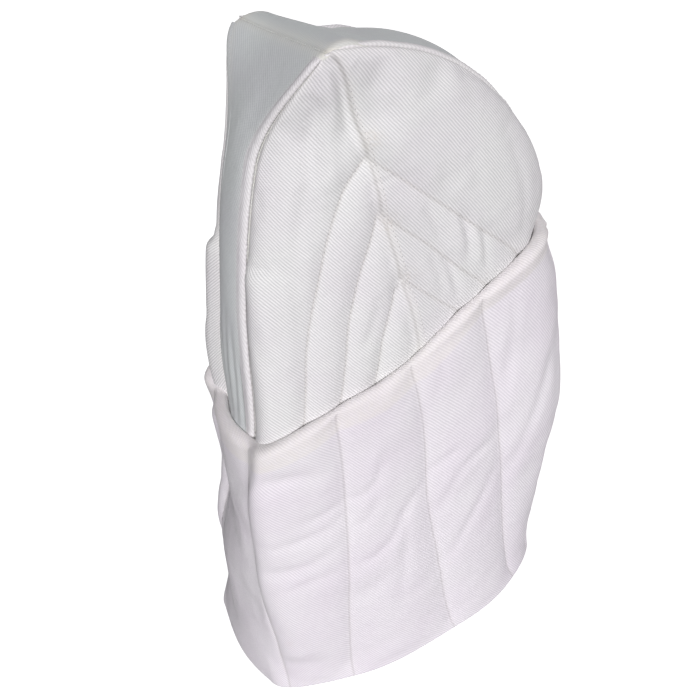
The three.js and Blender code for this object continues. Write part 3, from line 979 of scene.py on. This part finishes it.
# The side of the cuff is flatter than the pattern just behind its front corner line.
FLAT_FACE = [(0.44, 0.05), (0.3, 0.07), (0.2, 0.12), (0.13, 0.15)]
CUFF_FOLDS = [
    ([(0.461, 0.012), (0.467, 0.098), (0.461, 0.185), (0.445, 0.251)], 2.2, 4.0),
    ([(0.389, 0.185), (0.382, 0.228), (0.382, 0.266), (0.386, 0.298)], 1.6, 3.2),
    ([(0.363, 0.06), (0.358, 0.198), (0.356, 0.253), (0.364, 0.3)], 1.7, 3.4),
    ([(0.317, 0.06), (0.312, 0.165), (0.312, 0.223), (0.326, 0.296)], 1.9, 4.0),
    ([(0.273, 0.11), (0.28, 0.18), (0.281, 0.228), (0.28, 0.29)], 1.4, 3.6),
    ([(0.384, 0.305), (0.379, 0.343), (0.389, 0.363), (0.42, 0.373)], 2.0, 3.2),
    ([(0.336, 0.312), (0.339, 0.343), (0.356, 0.361), (0.385, 0.366)], 1.6, 3.0),
    ([(0.275, 0.312), (0.275, 0.361), (0.287, 0.393), (0.309, 0.411), (0.329, 0.434),
      (0.342, 0.466)], 2.5, 3.6),
    ([(0.33, 0.421), (0.269, 0.421), (0.218, 0.416), (0.15, 0.412)], 2.0, 4.0),
    ([(0.351, 0.472), (0.356, 0.506), (0.36, 0.534)], 1.6, 3.2),
    ([(0.275, 0.49), (0.31, 0.516), (0.329, 0.539), (0.336, 0.574), (0.34, 0.62)], 2.0, 3.6),
    ([(0.19, 0.522), (0.232, 0.559), (0.261, 0.591), (0.3, 0.622)], 2.3, 4.0),
    ([(0.26, 0.65), (0.322, 0.694), (0.353, 0.727), (0.39, 0.80)], 2.8, 5.0),
    ([(0.38, 0.632), (0.423, 0.654), (0.454, 0.667), (0.493, 0.679)], 2.0, 4.0),
    ([(0.502, 0.511), (0.476, 0.506), (0.44, 0.494)], 1.2, 3.4),
    ([(0.3, 0.8), (0.36, 0.83), (0.43, 0.87)], 2.0, 6.0),
    ([(0.12, 0.80), (0.2, 0.84), (0.28, 0.86)], 1.9, 6.0),
    ([(0.445, 0.37), (0.397, 0.355)], -1.2, 2.6),
]


def ring_places():
    """For each column: which panel it is on, and where across that panel."""
    side = np.linspace(0, 1, SIDE_SHARE + 1)[:-1]
    front = np.linspace(-1, 1, FRONT_SHARE + 1)[:-1]
    back = np.linspace(1, -1, BACK_SHARE + 1)
    half = BACK_SHARE // 2
    columns = [("back", a) for a in back[half:-1]]
    columns += [("right", 1 - a) for a in side]
    columns += [("front", a) for a in front]
    columns += [("left", a) for a in side]
    columns += [("back", a) for a in back[:half + 1]]
    return columns


COLUMNS = ring_places()


def on_column(column, high, depth):
    panel, place = column
    if panel == "left":
        return on_side(LEFT, high, place, depth)
    if panel == "right":
        return on_side(RIGHT, high, place, depth)
    return on_gusset(FRONT if panel == "front" else BACK, high, place, depth)


def top_of(column):
    panel, place = column
    return float(np.interp(place, *TOP_LINE)) if panel in ("left", "right") else CUFF_TOP


def cuff_section(top):
    """Rows of (high, depth) round the cuff: up the facing, over the roll, down the cover."""
    middle, radius = (FACE_DEPTH + COVER_DEPTH) / 2, (FACE_DEPTH - COVER_DEPTH) / 2
    start = 4.0 / 500
    rows = [(h, FACE_DEPTH) for h in np.linspace(start, top, FACING_ROWS, endpoint=False)]
    for angle in np.linspace(0, math.pi, ROLL_ROWS, endpoint=False):
        rows.append((top + 1.15 * radius * math.sin(angle) / 500,
                     middle + radius * math.cos(angle)))
    rows += [(h, COVER_DEPTH) for h in np.linspace(top, start, COVER_ROWS, endpoint=False)]
    foot = np.linspace(0, 1, FOOT_ROWS + 2)
    rows += [(start * (1 - math.sin(f * math.pi / 2)) + 0.0004,
              mix(COVER_DEPTH, FACE_DEPTH, 0.5 * f)) for f in foot[:-1]]
    rows += [(0.0004, mix(COVER_DEPTH, FACE_DEPTH, 0.6)), (0.0004, FACE_DEPTH - 0.8)]
    rows.append(rows[0])
    return np.array(rows)


def cuff_points():
    columns = []
    for column in COLUMNS:
        rows = cuff_section(top_of(column))
        columns.append(on_column(column, rows[:, 0], rows[:, 1]))
    points = np.stack(columns, 1)
    points[:, -1] = points[:, 0]
    for _ in range(3):
        body = points[:, :-1]
        body = (np.roll(body, 1, 1) + 2 * body + np.roll(body, -1, 1)) / 4
        points = np.concatenate([body, body[:, :1]], 1)
    return points


CUFF_BASE = cuff_points()
print("cuff grid", CUFF_BASE.shape)

# %% How the cover is shaped
COVER_FIRST = FACING_ROWS + ROLL_ROWS // 2
COVER_LAST = FACING_ROWS + ROLL_ROWS + COVER_ROWS - 1
GUSSET_CUFF_FOLDS = [
    ("front", [(0.46, -0.5), (0.36, -0.42), (0.26, -0.5)], 1.2, 5.0),
    ("front", [(0.42, 0.35), (0.30, 0.45), (0.16, 0.40)], 1.2, 5.0),
    ("front", [(0.2, -0.1), (0.12, 0.0), (0.03, -0.05)], 0.9, 6.0),
    ("back", [(0.48, 0.4), (0.36, 0.5), (0.2, 0.42)], 1.4, 5.0),
    ("back", [(0.46, -0.5), (0.3, -0.42), (0.12, -0.5)], 1.4, 5.0),
    ("back", [(0.3, 0.0), (0.18, 0.06), (0.06, 0.0)], 1.0, 5.0),
]


def cuff_lift(points):
    lift = np.zeros(points.shape[:-1])
    gap = np.full(points.shape[:-1], 99.0)
    normal = outward_normals(points, ring=True)
    rows = cuff_section(CUFF_TOP)
    for side in (LEFT, RIGHT):
        for places in CUFF_QUILTING:
            gap = smallest(gap, gap_to(points, panel_curve(side, places, COVER_DEPTH), normal))
        lift += folds_on(points, [(panel_curve(side, places, COVER_DEPTH), 0.62 * depth,
                                   1.15 * width) for places, depth, width in CUFF_FOLDS])
    for word, places, depth, width in GUSSET_CUFF_FOLDS:
        curve = gusset_curve(FRONT if word == "front" else BACK, places, COVER_DEPTH)
        lift += folds_on(points, [(curve, 0.35 * depth, 1.3 * width)])
    high = rows[:, 0][:, None]
    nearest = np.abs(gap)
    lift += stitch_groove(nearest, 2.5, 4.6) + 0.6 * ease(2, 18, nearest)
    for side in (LEFT, RIGHT):
        flat = reach(points, panel_curve(side, FLAT_FACE, COVER_DEPTH, 40))[0]
        lift += 3.4 * hump(flat, 13) * ease(0.0, 0.14, high)
    return lift * ease(0.0, 0.05, high) ** 0.5, gap


def cuff_marks(points, gap):
    cream_and_shade = 0.08 * hump(gap, 2.0)
    stain = np.zeros(points.shape[:-1])
    for place, width, strength in (((0.164, 0.14), 3.5, 0.3), ((0.177, 0.521), 0.9, 0.8),
                                   ((0.181, 0.499), 0.8, 0.6), ((0.44, 0.44), 1.0, 0.5)):
        centre = on_side(LEFT, *place, COVER_DEPTH)
        stain = np.maximum(stain, strength * hump(np.linalg.norm(points - centre, axis=-1), width))
    # The facing, the top roll and the first cover rows under it are made creamy: on the roll this
    # is painted shade under the hood's overhang.
    cream_and_shade[:COVER_FIRST + 12] = np.maximum(cream_and_shade[:COVER_FIRST + 12], 0.35)
    return {"cream_and_shade": cream_and_shade, "stain": stain, **line_marks(gap)}


# %% The cuff
def cuff_ring():
    points = CUFF_BASE.copy()
    lift, gap = cuff_lift(points)
    body = np.zeros(len(points))
    body[COVER_FIRST - 4:] = 1
    body = np.convolve(np.pad(body, 3, mode="edge"), np.ones(7) / 7, "valid")
    body[:FACING_ROWS - 2] = 0
    body[COVER_LAST + 2:] = 0
    body[COVER_LAST - 6:COVER_LAST + 2] = np.linspace(1, 0.2, 8)
    points += -outward_normals(points, ring=True) * (lift * body[:, None])[..., None]
    points[:, -1], points[-1] = points[:, 0], points[0]
    cover = slice(COVER_FIRST, COVER_LAST + 1 - (COVER_LAST - COVER_FIRST) % 2)
    held = np.abs(gap) < 2.2
    held[:COVER_FIRST + 3] = held[COVER_LAST - 5:] = True
    held[:, :2] = held[:, -2:] = True
    points[cover] = filled_out(points[cover], held[cover], cap=2.4, outward=-1,
                                spare=0.008, calm=2)
    points[:, -1] = points[:, 0]
    chart_round = run_round(CUFF_BASE)
    middle = int(points.shape[1] * 0.72)
    chart_round -= chart_round[:, middle][:, None]
    down = np.repeat(-run_along(CUFF_BASE[:, middle])[:, None], points.shape[1], 1)
    chart = np.stack([chart_round, down], -1) * MM
    return closed_ring("turned_up_cuff", points, chart, cuff_marks(points, gap),
                       [CUFF_TWILL, FACING_CLOTH], range(1, FACING_ROWS)), points


cuff, CUFF_POINTS = cuff_ring()
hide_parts(*[f"cuff_{where}_{layer}" for where in ("front", "left", "back", "right")
                    for layer in ("cover", "wadding", "facing")])

# %% [markdown]
# ## Hem
# At the rim the hood wall and the cuff are stitched together between the layers of a narrow
# binding. Only its underside shows, so a plain ring with rounded edges is enough. A short end
# of sewing thread has worked loose in front.

# %% Rim binding
HEM_SECTION = [(0.0002, 1.6), (0.0012, 2.5), (0.005, 2.6), (0.0066, 1.8), (0.0066, -5.4),
               (0.005, -6.6), (0.0012, -6.6), (0.0002, -5.8), (0.0002, -2.0)]


def hem_ring():
    section = np.array(HEM_SECTION + HEM_SECTION[:1])
    columns = [on_column(column, section[:, 0], section[:, 1]) for column in COLUMNS]
    points = np.stack(columns, 1)
    points[:, -1] = points[:, 0]
    run = run_round(points)
    over = np.repeat(run_along(points[:, 0])[:, None], points.shape[1], 1)
    marks = {"cream_and_shade": np.full(run.shape, 0.3), "stain": np.zeros(run.shape)}
    return closed_ring("rim_binding", points, np.stack([run, over], -1) * MM, marks, [CUFF_TWILL])


hem = hem_ring()
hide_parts("rim_hem")

# %% [markdown]
# ## Stitches
# The quilting thread shows as short ivory stitches that dip into pin-holes. Each is a small
# rounded bead of thread and a shallow dark dimple, which is painted shade of its pin-hole,
# made with bmesh's sphere and laid along the finished cloth.


# %% Thread finish and the pin-holes' painted shade
def spun(name, light, dark, roughness):
    material, tree = new_material(name)
    shader = tree.nodes["Principled BSDF"]
    where = wire(tree, "ShaderNodeTexCoord").outputs["Object"]
    ply = noise(tree, where, 3000, 2)
    tree.links.new(blend(tree, ply, dark, light), shader.inputs["Base Color"])
    bump = wire(tree, "ShaderNodeBump", {"Strength": 0.4, "Distance": 0.0001, "Height": ply})
    tree.links.new(bump.outputs[0], shader.inputs["Normal"])
    shader.inputs["Roughness"].default_value = roughness
    return material


THREAD = spun("sewing thread", (0.84, 0.82, 0.80, 1), (0.68, 0.66, 0.63, 1), 0.8)
# The pin-hole finish is dark grey: painted shade of the holes.
PIN_HOLE_SHADE = spun("pin hole painted shade", (0.50, 0.49, 0.48, 1), (0.34, 0.33, 0.32, 1), 0.95)
STITCH_PITCH, STITCH_LENGTH = 3.3, 2.3


# %% Lay the stitches
def on_cloth(points, highs, parts, places):
    """Points of a finished sheet at some places (high, part)."""
    row = np.interp(places[:, 0], highs, np.arange(len(highs)))
    column = np.interp(places[:, 1], parts, np.arange(len(parts)))
    i = np.minimum(row.astype(int), len(highs) - 2)
    j = np.minimum(column.astype(int), len(parts) - 2)
    f, g = (row - i)[:, None], (column - j)[:, None]
    return ((1 - f) * ((1 - g) * points[i, j] + g * points[i, j + 1])
            + f * ((1 - g) * points[i + 1, j] + g * points[i + 1, j + 1]))


def bead(bm, middle, along, out, size, material):
    """A small ellipsoid: length along the stitch, width, and height off the cloth, in mm."""
    axis = Vector(along).normalized()
    up_axis = (Vector(out) - Vector(out).dot(axis) * axis).normalized()
    frame_of = Matrix((axis, up_axis.cross(axis), up_axis)).transposed().to_4x4()
    place = Matrix.Translation(Vector(middle) * MM) @ frame_of
    place = place @ Matrix.Diagonal((*(Vector(size) * MM / 2), 1))
    made = bmesh.ops.create_uvsphere(bm, u_segments=6, v_segments=4, radius=1, matrix=place)
    faces = {face for v in made["verts"] for face in v.link_faces}
    for face in faces:
        face.material_index, face.smooth = material, True


FIRST_STITCH = 3.0  # mm from the upper end of a line


def stitch_rows(name, sheet):
    high, part, outer, normal = sheet
    whole = bmesh.new()
    count = 0
    for places in [VEIN, *FAN.values(), *CHEVRONS.values()]:
        bm = bmesh.new()
        line = smooth_line(places, 160)
        line = line[line[:, 0] > 0.5]
        if places is VEIN:
            line = line[line[:, 0] < 0.93] + np.array((0, 0.012))
        points = on_cloth(outer, high[:, 0], part[0], line)
        normals = on_cloth(normal, high[:, 0], part[0], line)
        run = run_along(points)
        for start in np.arange(FIRST_STITCH, run[-1] - STITCH_PITCH, STITCH_PITCH):
            stops = start + np.array((0, 0.5, 1)) * STITCH_LENGTH + (STITCH_PITCH
                                                                     - STITCH_LENGTH) / 2
            a, m, b = (np.array([np.interp(s, run, points[:, k]) for k in range(3)])
                       for s in stops)
            out = np.array([np.interp(stops[1], run, normals[:, k]) for k in range(3)])
            hole = np.array([np.interp(start, run, points[:, k]) for k in range(3)])
            bead(bm, m - out * 0.08, b - a, out, (STITCH_LENGTH, 0.36, 0.4), 0)
            # A flat dark disc on the cloth: painted shade of the pin-hole.
            bead(bm, hole, b - a, out, (0.62, 0.58, 0.2), 1)
            count += 1
        one_line = bpy.data.meshes.new("one_line")
        bm.to_mesh(one_line)
        bm.free()
        whole.from_mesh(one_line)
        bpy.data.meshes.remove(one_line)
    whole.transform(Matrix.Translation((0, SHIFT * MM, 0)))
    mesh = bpy.data.meshes.new(name)
    whole.to_mesh(mesh)
    whole.free()
    piece = placed(name, mesh)
    mesh.materials.append(THREAD)
    mesh.materials.append(PIN_HOLE_SHADE)
    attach(piece, "root")
    print(name, count, "stitches,", len(mesh.polygons), "faces")


stitch_rows("left_side_stitches", SHEETS[LEFT])
stitch_rows("right_side_stitches", SHEETS[RIGHT])

# %% Loose thread end at the rim
END_PATH = [(0.0065, 0.125, -9.0), (0.004, 0.118, -10.4), (0.0025, 0.108, -11.0),
            (0.0035, 0.098, -11.6), (0.006, 0.09, -12.4), (0.0055, 0.083, -13.6)]


def thread_end():
    path = np.array(END_PATH)
    points = on_side(LEFT, path[:, 0], path[:, 1], path[:, 2])
    curve = bpy.data.curves.new("loose_thread_end", "CURVE")
    curve.dimensions, curve.bevel_depth, curve.use_fill_caps = "3D", 0.00018, True
    curve.bevel_resolution, curve.resolution_u = 2, 6
    spline = curve.splines.new("BEZIER")
    spline.bezier_points.add(len(points) - 1)
    for node, point in zip(spline.bezier_points, points):
        node.co = (point + np.array((0, SHIFT, 0))) * MM
        node.handle_left_type = node.handle_right_type = "AUTO"
    holder = placed("holder", curve)
    dg = bpy.context.evaluated_depsgraph_get()
    mesh = bpy.data.meshes.new_from_object(holder.evaluated_get(dg))
    bpy.data.objects.remove(holder)
    piece = placed("loose_thread_end", mesh)
    mesh.materials.clear()
    mesh.materials.append(THREAD)
    for face in mesh.polygons:
        face.use_smooth = True
    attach(piece, "root")


thread_end()

# %% [markdown]
# ## Floor and light
# White cloth on a white floor needs soft light with one clear side. A broad sun-like lamp
# stands near the camera, so the side of the hood is bright and the face side and the crown
# fall into a cool shade, deepened by painted shade in the gusset's darker, greener twill. A
# weak lamp without a shadow fills the back. The sky lights the cloth with a dim, slightly
# green white, but the camera itself sees plain white, and the floor glows a little for the
# camera only.

# %% Floor
FLOOR_GLOW = 0.85
floor_mesh = bpy.data.meshes.new("floor")
bm = bmesh.new()
bmesh.ops.create_grid(bm, x_segments=1, y_segments=1, size=6)
bm.transform(Matrix.Translation((0, 0, CAD_BOX[0][2] - 0.0003)))
bm.to_mesh(floor_mesh)
bm.free()
floor = placed("floor", floor_mesh)
floor_paint, floor_tree = new_material("floor paint")
floor_shader = floor_tree.nodes["Principled BSDF"]
floor_where = wire(floor_tree, "ShaderNodeTexCoord").outputs["Object"]
floor_colour = blend(floor_tree, noise(floor_tree, floor_where, 3), (0.52, 0.52, 0.52, 1),
                     (0.55, 0.55, 0.55, 1))
floor_tree.links.new(floor_colour, floor_shader.inputs["Base Color"])
floor_shader.inputs["Roughness"].default_value = 0.9
floor_shader.inputs["Emission Color"].default_value = (1, 1, 1, 1)
eye = wire(floor_tree, "ShaderNodeLightPath").outputs["Is Camera Ray"]
floor_tree.links.new(times(floor_tree, eye, FLOOR_GLOW),
                     floor_shader.inputs["Emission Strength"])
floor_mesh.materials.append(floor_paint)

# %% Light
SKY_STRENGTH = 0.06


def lamp(name, azimuth, elevation, energy, soft, colour):
    """A broad sun-like lamp, its angles in degrees: 0 is the face side, 90 the left side."""
    azimuth, elevation = math.radians(azimuth), math.radians(elevation)
    data = bpy.data.lights.new(name, "SUN")
    data.energy, data.angle, data.color = energy, math.radians(soft), colour
    data.use_shadow = name == "key"
    lamp_object = placed(name, data)
    lamp_object.rotation_mode = "QUATERNION"
    aim = toward(azimuth, elevation)
    lamp_object.rotation_quaternion = aim.to_track_quat("Z", "Y")


lamp("key", 67, 33, 3.05, 12, (1.0, 0.97, 1.0))
lamp("back fill", 232, 4, 0.7, 30, (1.0, 1.0, 1.0))
world = bpy.data.worlds.new("soft sky")
world.use_nodes = True
sky = world.node_tree.nodes["Background"]
sky.inputs[0].default_value = (0.96, 1.0, 0.99, 1)
sky_seen = wire(world.node_tree, "ShaderNodeLightPath").outputs["Is Camera Ray"]
world.node_tree.links.new(tone(world.node_tree, sky_seen, 0, 1, SKY_STRENGTH, 1.0),
                          sky.inputs[1])
bpy.context.scene.world = world
bpy.context.scene.view_settings.view_transform = "Standard"
